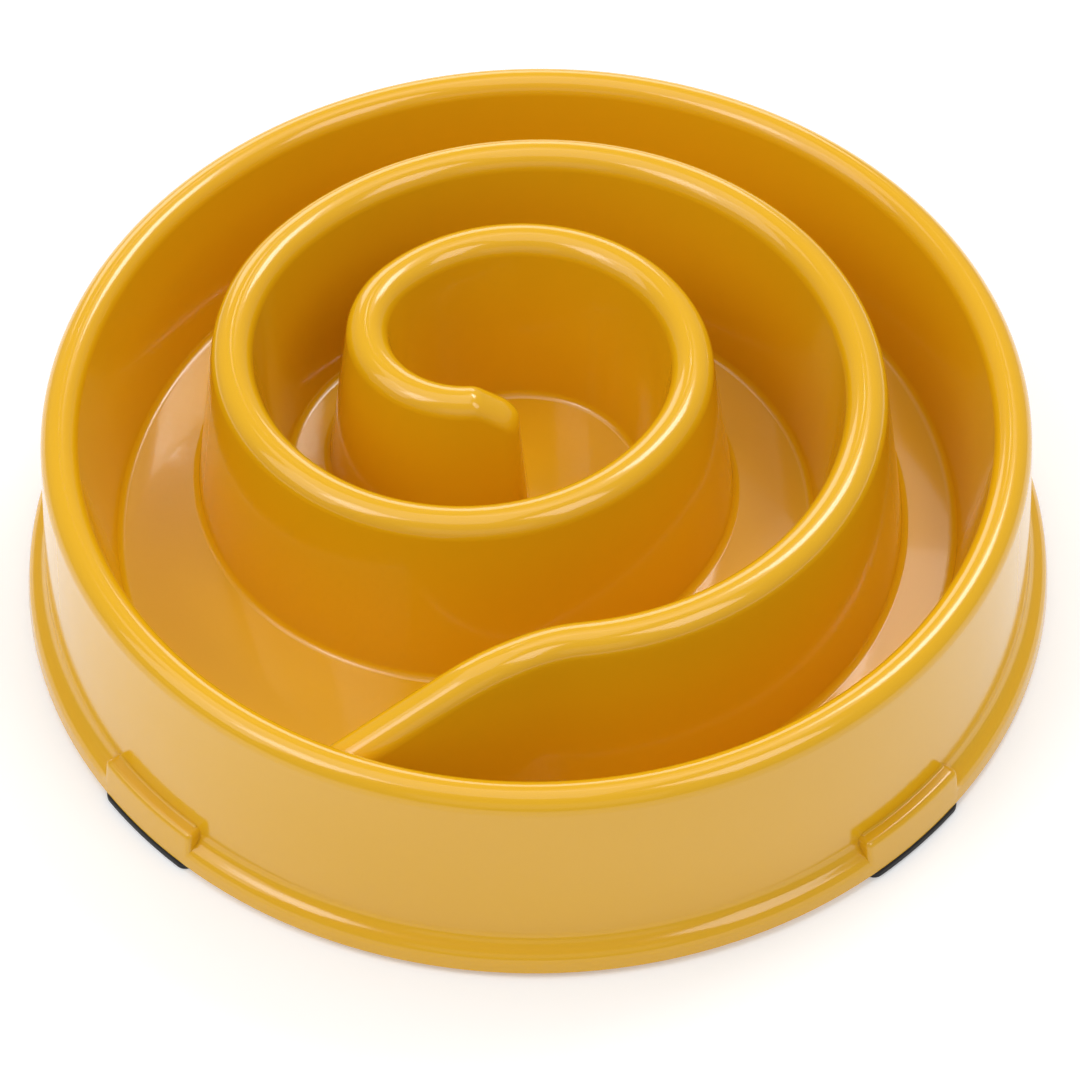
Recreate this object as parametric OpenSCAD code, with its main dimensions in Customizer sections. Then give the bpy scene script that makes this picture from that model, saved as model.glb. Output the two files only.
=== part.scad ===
// Slow feeder bowl: a one-piece moulded shell on four rubber feet.
// A double wall rises from a foot flange to a rounded rim and drops to a
// raised floor. A hollow ridge winds about two turns over the floor, from a
// cut nose near the middle to a ramp that runs into the outer wall.
// The Z axis is the bowl's axis and Z = 0 is the underside of the feet.
// The photograph's camera stands on the -Y side.

/* [Shell] */
// Diameter across the foot flange
flange_d = 280; // [240:1:340]
// Height of the flange ledge above the flange's underside
flange_h = 6; // [5:0.5:8]
// Width of the flange ledge outside the skirt
ledge_w = 5.4; // [5:0.2:8]
// How far the skirt leans in, from the ledge to the middle of the rounded rim
skirt_lean = 8.4; // [6.6:0.2:10.6]
// Height of the rim's crest above the flange's underside
rim_h = 59.7; // [56:0.1:64]
// Radius of the rounded rim
rim_round_r = 5.1; // [4:0.1:6]
// How far the well wall leans in, from the middle of the rim to the floor
well_lean = 12.2; // [10.2:0.2:14.2]
// Height of the floor above the flange's underside
floor_h = 15; // [12:0.5:18]
// Thickness of the moulded wall
wall = 2.8; // [2.2:0.1:3.2]

/* [Ridge] */
// Height of the ridge's crest above the flange's underside
crest_h = 68.4; // [60:0.2:72]
// Radius of the ridge's rounded crest
crest_round_r = 5.7; // [5:0.1:6.5]
// Draft of the ridge's walls, in degrees from upright
ridge_draft = 7.7; // [5:0.1:9]
// Sideways place of the outer turn's centre
turn_x = 0.4; // [-1:0.1:1]
// Front-to-back place of the outer turn's centre
turn_y = 1.6; // [-1:0.1:2]
// Radius of the arc at the ridge's inner end
nose_turn_r = 26.6; // [25:0.1:28]
// Radius of the inner turn
inner_turn_r = 46; // [45:0.1:47]
// Radius of the middle arc, which joins the two turns
middle_turn_r = 62.2; // [61:0.1:63]
// Radius of the outer turn
outer_turn_r = 87; // [86:0.1:88]
// Radius of the outer turn's last stretch
last_turn_r = 84.8; // [84:0.1:86]
// Radius of the bend back towards the outer wall
bend_back_r = 45.8; // [40:0.1:50]
// Slope of the ramp at the outer wall, in degrees from level
ramp_slope = 21; // [15:0.5:25]
// Slope of the ramp at the inner end, in degrees from level
nose_slope = 32; // [25:0.5:35]
// Length of the inner end beyond its last arc, at the crest
nose_run = 12.5; // [10:0.1:14]

/* [Feet] */
// Number of feet
foot_count = 4; // [4:1:4]
// Direction of the first foot
foot_az = 41.9; // [40:0.1:50]
// Angle from the first foot to the next one
foot_spread = 92.7; // [80:0.1:100]
// Arc of a foot boss, in degrees round the bowl
boss_arc = 14.5; // [12:0.5:18]
// Height of a foot boss above the flange's underside
boss_h = 11; // [9.5:0.5:14]
// How far a foot boss's outer face leans in from the flange's edge to its top
boss_lean = 1.6; // [1:0.1:3]
// Depth of the rubber pad that stands below the flange
pad_t = 2.4; // [2:0.1:4]
// Length of the rubber pad along the flange, at its middle line
pad_l = 33.4; // [28:0.2:36]
// Width of the rubber pad across the flange
pad_w = 9; // [7:0.1:9]
// Radius of the pad's round corners
pad_corner_r = 3; // [2:0.5:3.5]
// Distance from the flange's edge to the pad's outer edge
pad_inset = 0.2; // [0.2:0.1:1.6]
// How far the two pegs stand inside the pad's middle line
peg_inset = 1.2; // [0.6:0.1:2]
// Diameter of the two pegs on each pad
peg_d = 4; // [3:0.1:5]
// Height of the pegs above the pad
peg_h = 5; // [4:0.5:6]
// Distance between the two pegs of a pad
peg_gap = 18; // [14:0.5:20]
// Play between a peg and its socket, all round
peg_play = 0.1; // [0.05:0.05:0.2]

/* [Hidden] */
$fn = 72;

// Turning angles along the ridge: 0 points left, 90 back, 180 right, 270 front
// of the inner turn, and so on clockwise as seen from above
nose_turn_start_angle = -92;
inner_turn_start_angle = 43;
middle_turn_start_angle = 207;
outer_turn_start_angle = 400;
last_turn_start_angle = 553;
bend_back_start_angle = 624;
bend_back_angle = 18.6;
run_out_angle = bend_back_start_angle - bend_back_angle;

// Straight stretch at full height before the outer ramp
level_run = 11.9;
nose_lean_angle = 4;
nose_corner_r = 4.4;
nose_top_share = 0.4;

// Stations along the ridge and points over its crest
step_angle = 8;
rim_facet_count = 24;
pad_steps = 7;

// Radii and drafts of the shell's section
flange_r = flange_d / 2;
skirt_foot_r = flange_r - ledge_w;
rim_r = skirt_foot_r - skirt_lean;
floor_r = rim_r - well_lean;
skirt_top_r = rim_r + rim_round_r;
skirt_draft = atan((skirt_foot_r - skirt_top_r) / (rim_h - rim_round_r - flange_h));
well_top_r = rim_r - rim_round_r;
well_draft = atan((well_top_r - floor_r) / (rim_h - rim_round_r - floor_h));
flange_slope_share = 0.006;
ledge_edge_r = flange_r - flange_r * flange_slope_share;
ledge_bevel = wall / 2;
margin = wall;
reach = flange_d;

// Radii of the foot bosses and the pads, and half of a pad's arc
boss_foot_r = flange_r - boss_lean / 4;
boss_r = flange_r - boss_lean;
pad_r = flange_r - pad_inset - pad_w / 2;
peg_r = pad_r - peg_inset;
pad_outer_r = pad_r + pad_w / 2;
pad_inner_r = pad_r - pad_w / 2;
pad_half_angle = pad_l / (2 * pad_r) * 180 / PI;

// Heights above the ground, which is the underside of the feet
flange_z = pad_t;
floor_z = flange_z + floor_h;
rim_z = flange_z + rim_h - rim_round_r;
crest_z = flange_z + crest_h - crest_round_r;
ledge_z = flange_z + flange_h;

// Direction from an arc's middle to the ridge at a turning angle
function toward(t) = [cos(180 - t), sin(180 - t)];

// Direction of travel along the ridge at a turning angle
function along(t) = [sin(180 - t), -cos(180 - t)];

// Middle of each arc of the ridge, from the outer turn both ways
outer_mid = [turn_x, turn_y];
middle_mid = outer_mid + (outer_turn_r - middle_turn_r) * toward(outer_turn_start_angle);
inner_mid = middle_mid + (middle_turn_r - inner_turn_r) * toward(middle_turn_start_angle);
nose_mid = inner_mid + (inner_turn_r - nose_turn_r) * toward(inner_turn_start_angle);
last_mid = outer_mid + (outer_turn_r - last_turn_r) * toward(last_turn_start_angle);
bend_back_mid = last_mid + (last_turn_r + bend_back_r) * toward(bend_back_start_angle);
nose_end = nose_mid + nose_turn_r * toward(nose_turn_start_angle);
run_out_start = bend_back_mid - bend_back_r * toward(run_out_angle);

// The ramp runs on until its middle is a ridge's width beyond the middle of the rim
ramp_start = run_out_start + level_run * along(run_out_angle);
ramp_end_r = rim_r + 2 * crest_round_r;
ramp_mid_run = ramp_start * along(run_out_angle);
ramp_run = sqrt(ramp_end_r ^ 2 - ramp_start * ramp_start + ramp_mid_run ^ 2) - ramp_mid_run;

// Outline of the shell's section, moved inwards by inset
module shell_outline(inset) {
    r = rim_round_r - inset;
    skirt_in = inset / cos(skirt_draft);
    bottom_z = inset > 0 ? flange_z - margin : flange_z;
    floor_drop = floor_z - inset;
    well_foot_r = rim_r - r * cos(well_draft)
        - (rim_z + r * sin(well_draft) - floor_drop) * tan(well_draft);
    skirt_low_r = skirt_foot_r - skirt_in;
    translate([rim_r, rim_z]) circle(r, $fn = rim_facet_count);
    polygon([
        [0, bottom_z],
        [flange_r - inset, bottom_z],
        [ledge_edge_r - inset, ledge_z - inset - ledge_bevel],
        [ledge_edge_r - inset - ledge_bevel, ledge_z - inset],
        [skirt_low_r, ledge_z - inset],
        [rim_r + r * cos(skirt_draft), rim_z + r * sin(skirt_draft)],
        [rim_r - r * cos(well_draft), rim_z + r * sin(well_draft)],
        [well_foot_r, floor_drop],
        [0, floor_drop]
    ]);
}

// A station of the ridge: place, direction, height of the crest's middle,
// how far the sides and the top are drawn in, and the lean of the section
function station(place, heading, height, side_in, top_in, lean) =
    [place, heading, height, side_in, top_in, lean];

// Stations on one arc, without its first one
function arc_stations(mid, radius, from, to) =
    let (steps = ceil(abs(to - from) / step_angle))
    [for (i = [1:steps])
        let (t = from + (to - from) * i / steps)
        station(mid + radius * toward(t), along(t), crest_z, 0, 0, 0)];

// The nose: a short ramp whose end has round corners in plan
function nose_stations(inset) =
    let (
        corner = max(nose_corner_r - inset, nose_corner_r / 4),
        last = nose_run - inset,
        heading = along(nose_turn_start_angle),
        runs = [for (a = [0:30:90]) last - corner * (1 - cos(a))]
    )
    concat(
        [for (i = [0:3])
            station(
                nose_end - runs[i] * heading, heading,
                crest_z - runs[i] * tan(nose_slope),
                corner * (1 - sin(i * 30)),
                corner * (1 - sin(i * 30)) * nose_top_share,
                runs[i] / last
            )],
        [station(nose_end, heading, crest_z, 0, 0, 0)]
    );

// The straight way out: a level stretch and the ramp that runs into the wall
function way_out_stations() =
    let (heading = along(run_out_angle))
    [
        station(ramp_start, heading, crest_z, 0, 0, 0),
        station(
            ramp_start + ramp_run * heading, heading,
            crest_z - ramp_run * tan(ramp_slope), 0, 0, 0
        )
    ];

function ridge_stations(inset) = concat(
    nose_stations(inset),
    arc_stations(nose_mid, nose_turn_r, nose_turn_start_angle, inner_turn_start_angle),
    arc_stations(inner_mid, inner_turn_r, inner_turn_start_angle, middle_turn_start_angle),
    arc_stations(middle_mid, middle_turn_r, middle_turn_start_angle, outer_turn_start_angle),
    arc_stations(outer_mid, outer_turn_r, outer_turn_start_angle, last_turn_start_angle),
    arc_stations(last_mid, last_turn_r, last_turn_start_angle, bend_back_start_angle),
    arc_stations(bend_back_mid, -bend_back_r, bend_back_start_angle, run_out_angle),
    way_out_stations()
);

// The ridge's section at one station, as points from one foot over the crest
// to the other foot
function section_points(s, inset, low_z, steps) =
    let (
        side_r = crest_round_r - inset - s[3],
        top_r = crest_round_r - inset - s[4],
        shoulder_z = s[2] + top_r * sin(ridge_draft),
        foot_x = side_r * cos(ridge_draft) + (shoulder_z - low_z) * tan(ridge_draft),
        open = 180 - 2 * ridge_draft,
        across = [s[1].y, -s[1].x]
    )
    [for (j = [-1:steps + 1])
        let (
            a = 180 - ridge_draft - open * j / steps,
            x = j < 0 ? -foot_x : j > steps ? foot_x : side_r * cos(a),
            z = j < 0 || j > steps ? low_z : s[2] + top_r * sin(a),
            place = s[0] + across * x - s[1] * s[5] * (s[2] - z) * tan(nose_lean_angle)
        )
        [place.x, place.y, z]];

// The whole ridge as a solid, moved inwards by inset and drawn down to low_z
module ridge(inset, low_z, steps) {
    stations = ridge_stations(inset);
    n = len(stations);
    m = steps + 3;
    points = [for (s = stations) each section_points(s, inset, low_z, steps)];
    walls = [for (i = [0:n - 2], j = [0:m - 1])
        let (a = i * m + j, b = i * m + (j + 1) % m)
        each [[a, a + m, b], [b, a + m, b + m]]];
    ends = [[for (j = [0:m - 1]) j], [for (j = [m - 1:-1:0]) (n - 1) * m + j]];
    polyhedron(points, concat(walls, ends), convexity = 10);
}

// Room inside the well, out to the middle of its wall
module well_room() {
    rotate_extrude()
        polygon([
            [0, floor_z - wall],
            [floor_r + wall / 2, floor_z - wall],
            [well_top_r + wall / 2, rim_z],
            [well_top_r + wall / 2, rim_z + reach / 2],
            [0, rim_z + reach / 2]
        ]);
}

// Solid boss over one foot, from the flange's underside to its top
module boss_solid() {
    rotate([0, 0, -boss_arc / 2])
        rotate_extrude(angle = boss_arc)
            polygon([
                [pad_inner_r - wall, flange_z],
                [boss_foot_r, flange_z],
                [boss_r, flange_z + boss_h - ledge_bevel],
                [boss_r - ledge_bevel, flange_z + boss_h],
                [skirt_foot_r - wall, flange_z + boss_h]
            ]);
}

// Direction of a foot: the feet stand in two pairs, each pair opposite one another
function foot_turn(i) = foot_az + foot_spread * (i % 2) + 180 * floor(i / 2);

// The two peg places of a foot
module at_pegs() {
    for (side = [-1, 1])
        rotate([0, 0, side * peg_gap / (2 * peg_r) * 180 / PI])
            translate([peg_r, 0, flange_z]) children();
}

module bowl() {
    color([0.89, 0.62, 0.13])
        difference() {
            union() {
                difference() {
                    union() {
                        rotate_extrude() shell_outline(0);
                        intersection() {
                            ridge(0, floor_z - wall / 2, 10);
                            well_room();
                        }
                    }
                    rotate_extrude() shell_outline(wall);
                    intersection() {
                        ridge(wall, floor_z - wall - margin, 6);
                        translate([0, 0, flange_z - margin]) cylinder(h = reach, r = rim_r);
                    }
                }
                for (i = [0:foot_count - 1])
                    rotate([0, 0, foot_turn(i)]) boss_solid();
            }
            for (i = [0:foot_count - 1])
                rotate([0, 0, foot_turn(i)])
                    at_pegs()
                        translate([0, 0, -margin])
                            cylinder(h = margin + peg_h + peg_play * 2, d = peg_d + peg_play * 2);
        }
}

// Points on an arc in plan, from the one counted first
function arc_points(mid, radius, from, to, steps, first) =
    [for (i = [first:steps])
        let (a = from + (to - from) * i / steps)
        mid + radius * [cos(a), sin(a)]];

// One end of a pad, from its outer edge round both corners to its inner edge
function pad_end(steps) =
    let (
        outer_mid_r = pad_outer_r - pad_corner_r,
        inner_mid_r = pad_inner_r + pad_corner_r,
        outer_turn = pad_half_angle - asin(pad_corner_r / outer_mid_r),
        inner_turn = pad_half_angle - asin(pad_corner_r / inner_mid_r),
        end_turn = pad_half_angle + 90
    )
    concat(
        arc_points([0, 0], pad_outer_r, 0, outer_turn, steps, 0),
        arc_points(
            outer_mid_r * [cos(outer_turn), sin(outer_turn)], pad_corner_r,
            outer_turn, end_turn, steps, 1
        ),
        arc_points(
            inner_mid_r * [cos(inner_turn), sin(inner_turn)], pad_corner_r,
            end_turn, inner_turn + 180, steps, 0
        ),
        arc_points([0, 0], pad_inner_r, inner_turn, 0, steps, 1)
    );

// Rubber foot: a pad that follows the flange, with round corners and two pegs
module foot(i) {
    end = pad_end(pad_steps);
    n = len(end);
    other = [for (k = [n - 2:-1:1]) [end[k].x, -end[k].y]];
    color([0.09, 0.09, 0.1])
        rotate([0, 0, foot_turn(i)]) {
            linear_extrude(flange_z) polygon(concat(end, other));
            at_pegs()
                translate([0, 0, -flange_z / 2]) cylinder(h = peg_h + flange_z / 2, d = peg_d);
        }
}

module foot_back_right() { foot(0); }
module foot_back_left() { foot(1); }
module foot_front_left() { foot(2); }
module foot_front_right() { foot(3); }

bowl();
foot_back_right();
foot_back_left();
foot_front_left();
foot_front_right();
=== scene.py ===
from math import acos, asin, atan, ceil, cos, pi, radians, sin, tan

import bmesh
import bpy
from mathutils import Matrix, Vector


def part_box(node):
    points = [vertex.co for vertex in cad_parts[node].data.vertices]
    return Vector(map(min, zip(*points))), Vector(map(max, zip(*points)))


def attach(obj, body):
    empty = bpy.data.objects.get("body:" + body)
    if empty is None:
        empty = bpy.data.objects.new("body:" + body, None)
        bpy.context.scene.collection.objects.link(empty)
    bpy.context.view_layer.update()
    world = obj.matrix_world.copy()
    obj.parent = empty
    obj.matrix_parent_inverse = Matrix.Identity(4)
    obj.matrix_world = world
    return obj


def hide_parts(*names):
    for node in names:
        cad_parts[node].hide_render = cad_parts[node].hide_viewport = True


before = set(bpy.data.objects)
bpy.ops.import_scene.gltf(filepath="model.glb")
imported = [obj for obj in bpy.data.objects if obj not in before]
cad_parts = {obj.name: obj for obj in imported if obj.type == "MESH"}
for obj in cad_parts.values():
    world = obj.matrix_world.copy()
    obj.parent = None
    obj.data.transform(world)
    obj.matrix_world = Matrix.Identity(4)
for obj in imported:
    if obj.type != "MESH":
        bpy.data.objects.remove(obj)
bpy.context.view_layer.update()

MM = 0.001
# Points closer than this are one point
CLOSE = 0.002 * MM
# Left between faces of the bowl that would coincide
HAIR = 0.02 * MM
# Edges that turn more than this are sharp
SHARP = radians(40)

# The frame gives the bowl's reach, its underside and its highest point
bowl_low, bowl_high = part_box("bowl")
FLANGE_R = bowl_high.x
BASE_Z = bowl_low.z
CREST_TOP = bowl_high.z

# The shell's section
WALL = 2.8 * MM
FLANGE_H = 6 * MM
SKIRT_FOOT_R = 134.6 * MM
RIM_R = 126.2 * MM
RIM_ROUND = 5.1 * MM
RIM_TOP = BASE_Z + 59.7 * MM
FLOOR_R = 114 * MM
FLOOR_Z = BASE_Z + 15 * MM
BASE_FILLET = 2.4 * MM
SHELL_STEPS = 192
CORNER_STEPS = 8
RIM_STEPS = 20

# The flange's ledge: how far in and down its edge lies, how far up it meets the
# skirt, and the rounds of its edge, its corner and the corner's inside
LEDGE_IN = 0.84 * MM
LEDGE_DROP = 0.8 * MM
LEDGE_RISE = 1.5 * MM
LEDGE_ROUND = 4.4 * MM
LEDGE_FILLET = 4.4 * MM
LEDGE_HOLLOW = 4.2 * MM

# The ridge's section
CREST_ROUND = 5.7 * MM
DRAFT = radians(7.7)
CREST_Z = CREST_TOP - CREST_ROUND
CREST_STEPS = 16
FILLET_STEPS = 6
FILLET_SINK = 0.05 * MM

# Its way over the floor: the turns' radii, the angles in degrees where one turn
# passes into the next, and the level stretch and the ramp at the outer end
TURN_MID = Vector((0.4 * MM, 1.6 * MM, 0))
NOSE_R = 26.6 * MM
INNER_R = 46 * MM
MIDDLE_R = 62.2 * MM
OUTER_R = 87 * MM
LAST_R = 84.8 * MM
BEND_R = 45.8 * MM
NOSE_T = -92
INNER_T = 43
MIDDLE_T = 207
OUTER_T = 400
LAST_T = 553
BEND_T = 624
OUT_T = 605.4
LEVEL_RUN = 11.9 * MM
RAMP_RUN = 62 * MM
RAMP_SLOPE = radians(21)
RAMP_EASE = 9 * MM
# The degrees of a turn between two sections, on the ridge and on its hollow
RIDGE_STEP = 2.5
HOLLOW_STEP = 5

# The nose at the inner end
NOSE_RUN = 13.2 * MM
NOSE_SLOPE = radians(35)
NOSE_EASE = 1.8 * MM
NOSE_DRAFT = radians(4)
NOSE_CORNER = 4.4 * MM
# Of the round at the nose's end, the share that also comes off the crest
NOSE_TOP_SHARE = 0.4
NOSE_STEPS = 6

# The rooms that trim the ridge and its hollow
ROOM_STEPS = 96
ROOM_OVER_RIM = 20.4 * MM

# The bosses and the feet: azimuths and arcs in degrees
FOOT_AZ = {
    "foot_back_right": 41.9, "foot_back_left": 134.6,
    "foot_front_left": 221.9, "foot_front_right": 314.6,
}
BOSS_ARC = 14.5
BOSS_END = 1.2
BOSS_H = 11 * MM
BOSS_R = 138.4 * MM
BOSS_FOOT_R = FLANGE_R - HAIR
BOSS_SEAT_Z = BASE_Z + HAIR
BOSS_STEPS = 15
BOSS_ROUND = 1.5 * MM
BOSS_ROUND_STEPS = 4
BOSS_FILLET = 0.7 * MM
BOSS_FILLET_STEPS = 5
PAD_IN = 0.2 * MM
PAD_BULGE = 0.7 * MM
PAD_L = 33.4 * MM
PAD_W = 9 * MM
PAD_CORNER = 3 * MM
PAD_CORNER_STEPS = 6
PAD_CURVE_STEPS = 16
PAD_SOFT = 0.5 * MM
PAD_SOFT_STEPS = 3
PEG_D = 4 * MM
PEG_H = 5 * MM
PEG_GAP = 18 * MM
PEG_IN = 1.2 * MM
PEG_PLAY = 0.1 * MM
PEG_STEPS = 48
PEG_SOFT = 0.4 * MM
PEG_SOFT_STEPS = 2
PAD_OUTER_R = FLANGE_R - PAD_IN
PAD_INNER_R = PAD_OUTER_R - PAD_W
PAD_R = (PAD_OUTER_R + PAD_INNER_R) / 2
PEG_R = PAD_R - PEG_IN

# The studio's floor, in metres
FLOOR_SIZE = 6

# Colours: the plastic's faint cloud and the rubber's grain, each from dark to light
PLASTIC_DARK = (0.76, 0.402, 0.005, 1)
PLASTIC_LIGHT = (0.78, 0.418, 0.006, 1)
RUBBER_DARK = (0.006, 0.0055, 0.006, 1)
RUBBER_LIGHT = (0.014, 0.013, 0.014, 1)
PAPER = (0.82, 0.82, 0.82, 1)
WHITE = (1, 1, 1, 1)


# Working by hand: selecting, drawing an outline and cutting

def nothing_selected():
    if bpy.context.object and bpy.context.object.mode != "OBJECT":
        bpy.ops.object.mode_set(mode="OBJECT")
    bpy.ops.object.select_all(action="DESELECT")


def only(piece):
    nothing_selected()
    piece.select_set(True)
    bpy.context.view_layer.objects.active = piece


def draw_outline(name, points, filled=True):
    """Draws a closed flat outline by extruding one point along it, and fills it
    where it is to be swept from end to end."""
    nothing_selected()
    bpy.ops.mesh.primitive_plane_add(size=MM, location=(0, 0, 0))
    piece = bpy.context.object
    piece.name = name
    piece.data.name = name
    bpy.ops.object.mode_set(mode="EDIT")
    bpy.ops.mesh.merge(type="CENTER")
    bpy.ops.transform.translate(value=points[0])
    for here, there in zip(points, points[1:] + points[:1]):
        bpy.ops.mesh.extrude_region_move(TRANSFORM_OT_translate={"value": there - here})
    bpy.ops.mesh.select_all(action="SELECT")
    bpy.ops.mesh.remove_doubles(threshold=CLOSE)
    if filled:
        bpy.ops.mesh.edge_face_add()
    return piece


def finish_solid(piece):
    """Closes a swept form: doubles merged, both ends filled, faces outwards."""
    bpy.ops.mesh.select_all(action="SELECT")
    bpy.ops.mesh.remove_doubles(threshold=CLOSE)
    bpy.ops.mesh.delete_loose()
    bpy.ops.mesh.select_all(action="DESELECT")
    bpy.ops.mesh.select_non_manifold()
    bpy.ops.mesh.fill_holes(sides=0)
    bpy.ops.mesh.select_all(action="SELECT")
    bpy.ops.mesh.normals_make_consistent(inside=False)
    bpy.ops.object.mode_set(mode="OBJECT")
    return piece


def combine(piece, tool, way):
    """Joins, cuts or trims a solid with another, which is used up."""
    only(piece)
    modifier = piece.modifiers.new("cut", "BOOLEAN")
    modifier.object = tool
    modifier.operation = way
    modifier.solver = "MANIFOLD"
    bpy.ops.object.modifier_apply(modifier="cut")
    bpy.data.objects.remove(tool)
    return piece


def arc_points(mid, radius, start, end, steps):
    """Points on an arc in a section: across and height."""
    return [
        (mid[0] + radius * cos(start + (end - start) * i / steps),
         mid[1] + radius * sin(start + (end - start) * i / steps))
        for i in range(steps + 1)
    ]


def rounded(points):
    """An outline whose third value at a point is the radius of its corner."""
    out = []
    for i, (x, z, r) in enumerate(points):
        if not r:
            out.append((x, z))
            continue
        here = Vector((x, z))
        back = (Vector(points[i - 1][:2]) - here).normalized()
        ahead = (Vector(points[(i + 1) % len(points)][:2]) - here).normalized()
        half = acos(max(-1, min(1, back.dot(ahead)))) / 2
        mid = here + (back + ahead).normalized() * (r / sin(half))
        from_ = here + back * (r / tan(half)) - mid
        to = here + ahead * (r / tan(half)) - mid
        turn = pi - 2 * half
        for k in range(CORNER_STEPS + 1):
            a = turn * k / CORNER_STEPS
            spot = (from_ * sin(turn - a) + to * sin(a)) / sin(turn)
            out.append(tuple(mid + spot))
    return out


# The shell: its thin section turned once round the axis

def skirt_draft():
    """The skirt's lean, from its foot on the flange to the rim."""
    rise = RIM_TOP - RIM_ROUND - BASE_Z - FLANGE_H
    return atan((SKIRT_FOOT_R - RIM_R - RIM_ROUND) / rise)


def shell_section():
    """Closed outline of the wall: over the outside from the flange to the
    floor's middle, and back along the inside."""
    skirt = skirt_draft()
    well = atan((RIM_R - RIM_ROUND - FLOOR_R) / (RIM_TOP - RIM_ROUND - FLOOR_Z))
    rim = (RIM_R, RIM_TOP - RIM_ROUND)

    def side(inset):
        ledge_z = BASE_Z + FLANGE_H - inset
        skirt_r = SKIRT_FOOT_R - LEDGE_RISE * tan(skirt) - inset
        floor_z = FLOOR_Z - inset
        r = RIM_ROUND - inset
        foot = rim[0] - r * cos(well) - (rim[1] + r * sin(well) - floor_z) * tan(well)
        edge_r = FLANGE_R - LEDGE_IN - inset
        below = [
            (FLANGE_R - inset, BASE_Z, 0),
            (edge_r, ledge_z - LEDGE_DROP, LEDGE_ROUND - inset / 2),
            (skirt_r, ledge_z + LEDGE_RISE, LEDGE_HOLLOW if inset else LEDGE_FILLET),
            (rim[0] + r * cos(skirt), rim[1] + r * sin(skirt), 0),
        ]
        over = arc_points(rim, r, skirt, pi - well, RIM_STEPS)
        inner = [
            (rim[0] - r * cos(well), rim[1] + r * sin(well), 0),
            (foot, floor_z, BASE_FILLET + inset),
            (0, floor_z, 0),
        ]
        return rounded(below)[:-1] + over + rounded(inner)[1:]

    return side(0) + side(WALL)[::-1]


def turned(name, section, steps):
    """A section turned once round the axis."""
    outline = [Vector((x, 0, z)) for x, z in section]
    piece = draw_outline(name, outline, filled=False)
    bpy.ops.mesh.spin(steps=steps, angle=2 * pi, center=(0, 0, 0), axis=(0, 0, 1))
    return finish_solid(piece)


# The ridge: its section swept from the nose over the turns to the ramp

def toward(t):
    """The direction out of a turn's middle at an angle of the ridge's way."""
    return Vector((cos(radians(180 - t)), sin(radians(180 - t)), 0))


def along(t):
    """The direction in which the ridge runs there."""
    return Vector((sin(radians(180 - t)), -cos(radians(180 - t)), 0))


MIDDLE_MID = TURN_MID + (OUTER_R - MIDDLE_R) * toward(OUTER_T)
INNER_MID = MIDDLE_MID + (MIDDLE_R - INNER_R) * toward(MIDDLE_T)
NOSE_MID = INNER_MID + (INNER_R - NOSE_R) * toward(INNER_T)
LAST_MID = TURN_MID + (OUTER_R - LAST_R) * toward(LAST_T)
BEND_MID = LAST_MID + (LAST_R + BEND_R) * toward(BEND_T)
NOSE_END = NOSE_MID + NOSE_R * toward(NOSE_T)
OUT_START = BEND_MID - BEND_R * toward(OUT_T)

# Each turn: its middle and the angles where it starts and ends
TURNS = [
    (NOSE_MID, NOSE_T, INNER_T),
    (INNER_MID, INNER_T, MIDDLE_T),
    (MIDDLE_MID, MIDDLE_T, OUTER_T),
    (TURN_MID, OUTER_T, LAST_T),
    (LAST_MID, LAST_T, BEND_T),
    (BEND_MID, BEND_T, OUT_T),
]


def ridge_section(inset, low_z, fillet, height, side_in, top_in):
    """Points from one foot over the crest to the other: across and height."""
    side = CREST_ROUND - inset - side_in
    top = CREST_ROUND - inset - top_in
    shoulder = height + top * sin(DRAFT)
    crest = [
        (side * cos(a), height + top * sin(a))
        for a in [pi - DRAFT - (pi - 2 * DRAFT) * i / CREST_STEPS
                  for i in range(CREST_STEPS + 1)]
    ]
    foot = side * cos(DRAFT) + (shoulder - FLOOR_Z) * tan(DRAFT)
    if not fillet:
        foot += (FLOOR_Z - low_z) * tan(DRAFT)
        return [(-foot, low_z)] + crest + [(foot, low_z)]
    # The fillet runs out just under the floor, so that the two surfaces cross
    reach = fillet * tan((pi / 2 - DRAFT) / 2)
    mid = (foot + reach, FLOOR_Z + fillet - FILLET_SINK)
    flare = arc_points(mid, fillet, pi + DRAFT, 1.5 * pi, FILLET_STEPS)
    right = flare + [(foot + reach, low_z)]
    return [(-x, z) for x, z in right[::-1]] + crest + right


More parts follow.
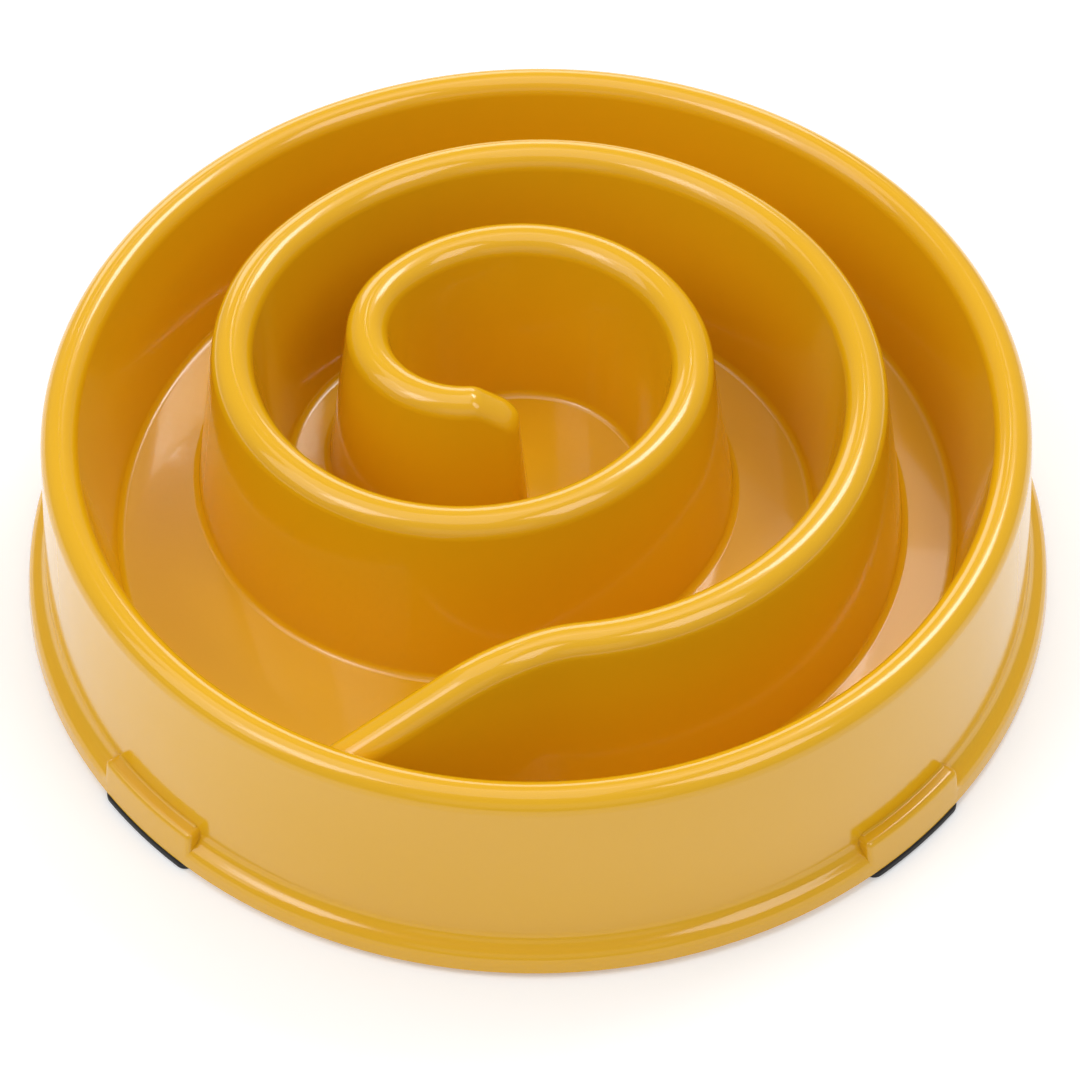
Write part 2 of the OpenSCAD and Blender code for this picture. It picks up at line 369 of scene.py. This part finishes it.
def ridge_solid(name, inset, low_z, fillet, step):
    """The ridge from nose to ramp, drawn in by a wall where it is the hollow; a
    step of a turn is given in degrees."""
    def placed(place, heading, height, side_in, top_in, lean):
        """The section at a place; a lean tips it into the nose's sloping face."""
        across = Vector((heading.y, -heading.x, 0))
        shape = ridge_section(inset, low_z, fillet, height, side_in, top_in)
        return [
            place + across * x + Vector((0, 0, z))
            - heading * (lean * (height - z) * tan(NOSE_DRAFT))
            for x, z in shape
        ]

    def extrude_to(here, there):
        """Extrudes the last section and moves its points to the next one's."""
        bpy.ops.mesh.extrude_region_move()
        mesh = bmesh.from_edit_mesh(piece.data)
        for v in mesh.verts:
            if v.select:
                near = min(range(len(here)),
                           key=lambda k: (here[k] - v.co).length_squared)
                v.co = there[near]
        bmesh.update_edit_mesh(piece.data)

    heading = along(NOSE_T)
    corner = NOSE_CORNER - inset
    last = NOSE_RUN - inset
    nose = []
    # The rounded face, from the nose's end inwards
    for i in range(NOSE_STEPS + 1):
        turn = radians(90 * i / NOSE_STEPS)
        run = last - corner * (1 - cos(turn))
        tuck = corner * (1 - sin(turn))
        fall = (run - NOSE_EASE) * tan(NOSE_SLOPE)
        nose.append(placed(NOSE_END - run * heading, heading, CREST_Z - fall,
                           tuck, tuck * NOSE_TOP_SHARE, run / last))
    # The crest eases from the nose's slope into the level
    for i in range(NOSE_STEPS, -1, -1):
        run = 2 * NOSE_EASE * i / NOSE_STEPS
        fall = run ** 2 / (4 * NOSE_EASE) * tan(NOSE_SLOPE)
        nose.append(placed(NOSE_END - run * heading, heading, CREST_Z - fall,
                           0, 0, run / last))
    piece = draw_outline(name, nose[0])
    for here, there in zip(nose, nose[1:]):
        extrude_to(here, there)
    for mid, start, end in TURNS:
        turn = radians(abs(end - start))
        steps = ceil(turn / radians(step))
        way = 1 if end > start else -1
        bpy.ops.mesh.spin(steps=steps, angle=turn * way, center=mid, axis=(0, 0, 1))
    # The level stretch and the ramp, with an ease between them
    heading = along(OUT_T)
    sections = [placed(OUT_START, heading, CREST_Z, 0, 0, 0)]
    ease = RAMP_EASE
    for run in (-ease, -ease / 2, 0, ease / 2, ease, RAMP_RUN):
        fall = (run + ease) ** 2 / (4 * ease) if run < ease else run
        sections.append(placed(OUT_START + heading * (LEVEL_RUN + run), heading,
                               CREST_Z - fall * tan(RAMP_SLOPE), 0, 0, 0))
    for here, there in zip(sections, sections[1:]):
        extrude_to(here, there)
    return finish_solid(piece)


def well_room():
    """The room over the floor, out to the middle of the well's wall."""
    top = RIM_TOP + ROOM_OVER_RIM
    wide = RIM_R - RIM_ROUND + WALL / 2
    section = [
        (0, FLOOR_Z - WALL), (FLOOR_R + WALL / 2, FLOOR_Z - WALL),
        (wide, RIM_TOP - RIM_ROUND), (wide, top), (0, top),
    ]
    return turned("well_room", section, ROOM_STEPS)


def hollow_room():
    """The hollow under the ridge ends below the rim, inside the double wall."""
    low, high = FLOOR_Z - 3 * WALL, CREST_TOP
    section = [(0, low), (RIM_R, low), (RIM_R, high), (0, high)]
    return turned("hollow_room", section, ROOM_STEPS)


def swept_round(name, section, azimuth, arc):
    """A boss's length of a section, turned round the axis."""
    start = radians(azimuth + arc / 2)
    outline = [Vector((x * cos(start), x * sin(start), z)) for x, z in section]
    piece = draw_outline(name, outline)
    bpy.ops.mesh.spin(
        steps=BOSS_STEPS, angle=radians(arc), center=(0, 0, 0), axis=(0, 0, 1))
    return finish_solid(piece)


def soften(piece, width, segments):
    """Rounds the sharp edges of a solid."""
    only(piece)
    modifier = piece.modifiers.new("soft_edges", "BEVEL")
    modifier.width = width
    modifier.segments = segments
    modifier.limit_method = "ANGLE"
    modifier.angle_limit = SHARP
    bpy.ops.object.modifier_apply(modifier="soft_edges")
    return piece


def boss(azimuth):
    """A foot boss with soft edges: the seat of a pad below, a step above the ledge."""
    top = BASE_Z + BOSS_H
    section = [
        (PAD_INNER_R - WALL, BOSS_SEAT_Z), (BOSS_FOOT_R, BOSS_SEAT_Z),
        (BOSS_R, top), (SKIRT_FOOT_R - WALL, top),
    ]
    block = swept_round("boss", section, azimuth, BOSS_ARC)
    return soften(block, BOSS_ROUND, BOSS_ROUND_STEPS)


def boss_fillet(azimuth):
    """The hollow corner between a boss's top and the skirt."""
    top = BASE_Z + BOSS_H
    r = SKIRT_FOOT_R - (BOSS_H - FLANGE_H) * tan(skirt_draft())
    f = BOSS_FILLET
    deep = f / 2
    section = arc_points((r + f, top + f), f, 1.5 * pi, pi, BOSS_FILLET_STEPS) + [
        (r - deep, top + f), (r - deep, top - deep), (r + f, top - deep),
    ]
    return swept_round("boss_fillet", section, azimuth, BOSS_ARC - BOSS_END)


def cylinder(turn, radius, middle, depth):
    """An upright cylinder on the pegs' circle."""
    nothing_selected()
    bpy.ops.mesh.primitive_cylinder_add(
        vertices=PEG_STEPS, radius=radius, depth=depth,
        location=(PEG_R * cos(turn), PEG_R * sin(turn), middle))
    piece = bpy.context.object
    bpy.ops.object.transform_apply(location=True, rotation=True, scale=True)
    return piece


def peg_holes():
    """All the sockets that the pads' pegs stand in."""
    holes = None
    for azimuth in FOOT_AZ.values():
        for side in (-1, 1):
            turn = radians(azimuth) + side * PEG_GAP / (2 * PEG_R)
            deep = PEG_H + 2 * PEG_PLAY
            hole = cylinder(turn, PEG_D / 2 + PEG_PLAY, BASE_Z, 2 * deep)
            holes = combine(hole, holes, "UNION") if holes else hole
    return holes


def bowl_piece():
    shell = turned("bowl_body", shell_section(), SHELL_STEPS)
    ridge = ridge_solid("ridge", 0, FLOOR_Z - WALL / 2, BASE_FILLET, RIDGE_STEP)
    combine(ridge, well_room(), "INTERSECT")
    combine(shell, ridge, "UNION")
    hollow = ridge_solid("hollow", WALL, FLOOR_Z - 2 * WALL, 0, HOLLOW_STEP)
    combine(hollow, hollow_room(), "INTERSECT")
    combine(shell, hollow, "DIFFERENCE")
    for azimuth in FOOT_AZ.values():
        combine(shell, boss(azimuth), "UNION")
        combine(shell, boss_fillet(azimuth), "UNION")
    combine(shell, peg_holes(), "DIFFERENCE")
    return shell


# The feet: one rubber pad that follows the flange, copied to four places

def pad_plan():
    """Outline of a pad seen from above, with round corners."""
    half = PAD_L / (2 * PAD_R)
    c = PAD_CORNER
    outer, inner = PAD_OUTER_R + PAD_BULGE - c, PAD_INNER_R + c
    out_turn, in_turn = half - asin(c / outer), half - asin(c / inner)

    def corner(r, turn, first):
        mid = (r * cos(turn), r * sin(turn))
        return arc_points(mid, c, first, first + pi / 2, PAD_CORNER_STEPS)

    curve = arc_points((0, 0), outer + c, -out_turn, out_turn, PAD_CURVE_STEPS)
    curve += corner(outer, out_turn, out_turn)[1:]
    curve += corner(inner, in_turn, in_turn + pi / 2)
    curve += arc_points((0, 0), PAD_INNER_R, in_turn, -in_turn, PAD_CURVE_STEPS)[1:]
    curve += corner(inner, -in_turn, -in_turn + pi)[1:]
    curve += corner(outer, -out_turn, -out_turn - pi / 2)[:-1]
    return [Vector((x, y, 0)) for x, y in curve]


def pad_piece():
    pad = draw_outline("rubber_pad", pad_plan())
    bpy.ops.mesh.extrude_region_move(TRANSFORM_OT_translate={"value": (0, 0, BASE_Z)})
    soften(finish_solid(pad), PAD_SOFT, PAD_SOFT_STEPS)
    for side in (-1, 1):
        turn = side * PEG_GAP / (2 * PEG_R)
        # A peg starts half way up the pad
        low = BASE_Z / 2
        peg = cylinder(turn, PEG_D / 2, BASE_Z + (PEG_H - low) / 2, PEG_H + low)
        combine(pad, soften(peg, PEG_SOFT, PEG_SOFT_STEPS), "UNION")
    return pad


def placed_pad(pad, node, azimuth):
    """A copy of the pad with its own mesh, turned to its boss."""
    piece = pad.copy()
    piece.data = pad.data.copy()
    piece.name = piece.data.name = node + "_pad"
    bpy.context.scene.collection.objects.link(piece)
    piece.rotation_euler.z = radians(azimuth)
    only(piece)
    bpy.ops.object.transform_apply(location=True, rotation=True, scale=True)
    return piece


# Materials

def new_material(name):
    """A material, its nodes, its links and its shader."""
    material = bpy.data.materials.new(name)
    material.use_nodes = True
    nodes = material.node_tree.nodes
    return material, nodes, material.node_tree.links, nodes["Principled BSDF"]


def new_noise(nodes, scale, detail):
    noise = nodes.new("ShaderNodeTexNoise")
    noise.inputs["Scale"].default_value = scale
    noise.inputs["Detail"].default_value = detail
    return noise


def new_bump(nodes, strength, distance):
    bump = nodes.new("ShaderNodeBump")
    bump.inputs["Strength"].default_value = strength
    bump.inputs["Distance"].default_value = distance
    return bump


def moulded_plastic():
    material, nodes, links, shader = new_material("yellow_moulded_plastic")
    shader.inputs["Roughness"].default_value = 0.15
    shader.inputs["IOR"].default_value = 1.47
    shader.inputs["Coat Weight"].default_value = 0.4
    shader.inputs["Coat Roughness"].default_value = 0.035
    where = nodes.new("ShaderNodeTexCoord")
    cloud = new_noise(nodes, 9, 3)
    tint = nodes.new("ShaderNodeValToRGB")
    tint.color_ramp.elements[0].position = 0.3
    tint.color_ramp.elements[0].color = PLASTIC_DARK
    tint.color_ramp.elements[1].position = 0.7
    tint.color_ramp.elements[1].color = PLASTIC_LIGHT
    grain = new_noise(nodes, 900, 2)
    bump = new_bump(nodes, 0.02, 0.4 * MM)
    for noise in (cloud, grain):
        links.new(where.outputs["Object"], noise.inputs["Vector"])
    links.new(cloud.outputs["Fac"], tint.inputs["Fac"])
    links.new(tint.outputs["Color"], shader.inputs["Base Color"])
    links.new(grain.outputs["Fac"], bump.inputs["Height"])
    links.new(bump.outputs["Normal"], shader.inputs["Normal"])
    return material


def foot_rubber():
    material, nodes, links, shader = new_material("black_foot_rubber")
    shader.inputs["IOR"].default_value = 1.36
    where = nodes.new("ShaderNodeTexCoord")
    grain = new_noise(nodes, 1400, 3)
    tint = nodes.new("ShaderNodeValToRGB")
    tint.color_ramp.elements[0].color = RUBBER_DARK
    tint.color_ramp.elements[1].color = RUBBER_LIGHT
    shine = nodes.new("ShaderNodeMapRange")
    shine.inputs["To Min"].default_value = 0.5
    shine.inputs["To Max"].default_value = 0.66
    bump = new_bump(nodes, 0.12, 0.3 * MM)
    links.new(where.outputs["Object"], grain.inputs["Vector"])
    links.new(grain.outputs["Fac"], tint.inputs["Fac"])
    links.new(grain.outputs["Fac"], shine.inputs["Value"])
    links.new(grain.outputs["Fac"], bump.inputs["Height"])
    links.new(tint.outputs["Color"], shader.inputs["Base Color"])
    links.new(shine.outputs["Result"], shader.inputs["Roughness"])
    links.new(bump.outputs["Normal"], shader.inputs["Normal"])
    return material


def smooth(piece):
    only(piece)
    bpy.ops.object.shade_smooth_by_angle(angle=SHARP)
    weights = piece.modifiers.new("weights", "WEIGHTED_NORMAL")
    weights.keep_sharp = True
    bpy.ops.object.modifier_apply(modifier="weights")


# The camera and the studio

def camera():
    """The photograph's view, fitted on the rim, the flange and the floor."""
    pitch, yaw, roll = radians(50.16), radians(0.054), radians(-0.669)
    # Metres; the sensor in millimetres
    place = (0, -0.7282, 0.8792)
    sensor, focal_pixels, frame_pixels = 36, 4135, 1080
    forward = Vector((sin(yaw) * cos(pitch), cos(yaw) * cos(pitch), -sin(pitch)))
    level = forward.cross(Vector((0, 0, 1))).normalized()
    upright = level.cross(forward)
    right = level * cos(roll) + upright * sin(roll)
    up = upright * cos(roll) - level * sin(roll)
    data = bpy.data.cameras.new("camera")
    data.sensor_width = sensor
    data.lens = sensor * focal_pixels / frame_pixels
    seen = bpy.data.objects.new("camera", data)
    bpy.context.scene.collection.objects.link(seen)
    turn = Matrix((right, up, -forward)).transposed().to_4x4()
    seen.matrix_world = Matrix.Translation(place) @ turn
    bpy.context.scene.camera = seen


def studio():
    nothing_selected()
    bpy.ops.mesh.primitive_plane_add(size=FLOOR_SIZE, location=(0, 0, 0))
    floor = bpy.context.object
    floor.name = "studio_floor"
    white, _, _, paper = new_material("studio_floor")
    paper.inputs["Base Color"].default_value = PAPER
    paper.inputs["Roughness"].default_value = 0.9
    # A lit table: the photograph's ground is pure white
    paper.inputs["Emission Color"].default_value = WHITE
    paper.inputs["Emission Strength"].default_value = 0.24
    floor.data.materials.append(white)
    world = bpy.data.worlds.new("studio")
    world.use_nodes = True
    around = world.node_tree.nodes["Background"]
    around.inputs["Color"].default_value = WHITE
    around.inputs["Strength"].default_value = 0.38
    bpy.context.scene.world = world
    bpy.context.scene.view_settings.view_transform = "Standard"
    # Each softbox: its azimuth and its rise in degrees, its distance from the bowl's
    # middle, width and height in metres, and the brightness of its face
    for name, azimuth, rise, away, wide, high, bright in (
        ("key", 52, 57, 1.7, 0.5, 0.42, 8.2),
        ("key_spread", 55, 62, 1.8, 1.1, 0.9, 0.8),
        ("front_left", -150, 57, 1.7, 0.5, 0.66, 2.9),
        ("left", -165, 45, 1.9, 1.1, 1.1, 1.5),
        ("front_right", -38, 54, 1.7, 0.55, 0.8, 3.1),
        ("behind", 98, 22, 2.2, 1.9, 0.8, 2.4),
        ("panel_left", 100.2, 46.0, 2.2, 0.15, 0.12, 2.0),
        ("strip_left", 101.5, 47.2, 2.18, 0.012, 0.08, 16),
        ("strip_inner", 97.0, 47.4, 2.18, 0.05, 0.06, 9),
        ("panel_right", 77.6, 51.8, 2.2, 0.06, 0.12, 3.6),
        ("above", 170, 78, 2.0, 1.6, 1.6, 1.1),
        ("front", -90, 28, 2.2, 1.8, 0.9, 0.3),
    ):
        data = bpy.data.lights.new(name, "AREA")
        data.shape = "RECTANGLE"
        data.size, data.size_y = wide, high
        data.energy = bright * pi * wide * high
        lamp = bpy.data.objects.new(name, data)
        bpy.context.scene.collection.objects.link(lamp)
        turn, up = radians(azimuth), radians(rise)
        place = Vector((cos(turn) * cos(up), sin(turn) * cos(up), sin(up))) * away
        lamp.matrix_world = Matrix.Translation(place) @ (
            -place).to_track_quat("-Z", "Y").to_matrix().to_4x4()


def finished(piece, node, material):
    """Smooths a piece, gives it its material and puts it in its node's place."""
    smooth(piece)
    piece.data.materials.clear()
    piece.data.materials.append(material)
    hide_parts(node)
    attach(piece, "root")


finished(bowl_piece(), "bowl", moulded_plastic())
rubber = foot_rubber()
pattern = pad_piece()
for node, azimuth in FOOT_AZ.items():
    finished(placed_pad(pattern, node, azimuth), node, rubber)
bpy.data.objects.remove(pattern)

camera()
studio()
